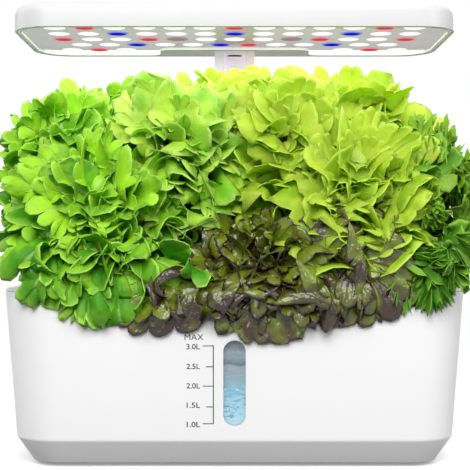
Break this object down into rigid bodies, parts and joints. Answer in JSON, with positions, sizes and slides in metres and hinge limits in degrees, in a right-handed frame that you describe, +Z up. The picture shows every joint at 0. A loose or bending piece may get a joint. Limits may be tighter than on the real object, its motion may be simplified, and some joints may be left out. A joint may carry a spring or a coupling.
{
  "type": "countertop hydroponic garden",
  "caption": "Tapering white water tank with a level window, a lift-off planting deck full of lettuces, and a flat grow lamp on a sliding mast",
  "frame": {"origin": "on the surface under the feet, below the middle of the garden", "axes": "+X along the tank to the right as seen from the front, +Y from the front to the mast, +Z up"},
  "size_m": [0.308, 0.1886, 0.289],
  "materials": {
    "white_shell": "satin",
    "white_inner": "satin",
    "clear": "gloss",
    "rubber": "matte",
    "basket_grey": "satin",
    "sponge": "matte",
    "steel": "satin",
    "mast_white": "satin",
    "board": "satin",
    "circuit": "satin",
    "black": "satin",
    "leaf_green": "satin",
    "leaf_lime": "satin",
    "leaf_red": "satin",
    "leaf_dark": "satin"
  },
  "bodies": {
    "tank": {"tank_shell": "white_shell", "water_window": "clear", "window_seal": "rubber", "foot_1": "rubber", "foot_2": "rubber", "foot_3": "rubber", "foot_4": "rubber"},
    "deck": {"grow_deck": "white_shell", "lid_pin": "steel", "basket_1": "basket_grey", "basket_2": "basket_grey", "basket_3": "basket_grey", "basket_4": "basket_grey", "basket_5": "basket_grey", "basket_6": "basket_grey", "basket_7": "basket_grey", "basket_8": "basket_grey", "basket_9": "basket_grey", "basket_10": "basket_grey", "sponge_1": "sponge", "sponge_2": "sponge", "sponge_3": "sponge", "sponge_4": "sponge", "sponge_5": "sponge", "sponge_6": "sponge", "sponge_7": "sponge", "sponge_8": "sponge", "sponge_9": "sponge", "sponge_10": "sponge", "plant_1": "leaf_green", "plant_2": "leaf_red", "plant_3": "leaf_lime", "plant_4": "leaf_green", "plant_5": "leaf_green", "plant_6": "leaf_lime", "plant_7": "leaf_dark", "plant_8": "leaf_green", "plant_9": "leaf_lime", "plant_10": "leaf_lime", "mast_hub": "white_shell", "hub_board": "circuit", "power_jack": "black", "mast_rail": "mast_white", "lamp_lead": "black", "pump_housing": "black", "pump_strainer": "black", "impeller_shaft": "steel", "pump_riser": "white_inner", "pump_lead": "black"},
    "fill_lid": {"fill_lid": "white_shell"},
    "impeller": {"pump_impeller": "white_inner"},
    "lamp": {"mast_slider": "mast_white", "friction_pad": "black", "lamp_shell": "white_shell", "lamp_bezel": "white_inner", "led_board": "board", "button_board": "circuit"},
    "power_button": {"power_button": "white_shell"},
    "light_button": {"light_button": "white_shell"},
    "pump_button": {"pump_button": "white_shell"}
  },
  "joints": [
    {"name": "deck_lift", "type": "slide", "parent": "tank", "child": "deck", "axis": [0, 0, 1], "range_m": [0, 0.105]},
    {"name": "lamp_height", "type": "slide", "parent": "deck", "child": "lamp", "axis": [0, 0, 1], "range_m": [0, 0.09], "deforming": ["lamp_lead"]},
    {"name": "fill_lid_hinge", "type": "hinge", "parent": "deck", "child": "fill_lid", "pos_m": [0.096, 0.079, 0.1124], "axis": [-1, 0, 0], "range_deg": [0, 110]},
    {"name": "impeller_spin", "type": "hinge", "parent": "deck", "child": "impeller", "pos_m": [0, 0.046, 0.022], "axis": [0, 1, 0], "continuous": true},
    {"name": "power_press", "type": "slide", "parent": "lamp", "child": "power_button", "axis": [0, 0, -1], "range_m": [0, 0.0012], "stiffness_N_per_m": 400},
    {"name": "light_press", "type": "slide", "parent": "lamp", "child": "light_button", "axis": [0, 0, -1], "range_m": [0, 0.0012], "stiffness_N_per_m": 400},
    {"name": "pump_press", "type": "slide", "parent": "lamp", "child": "pump_button", "axis": [0, 0, -1], "range_m": [0, 0.0012], "stiffness_N_per_m": 400}
  ]
}
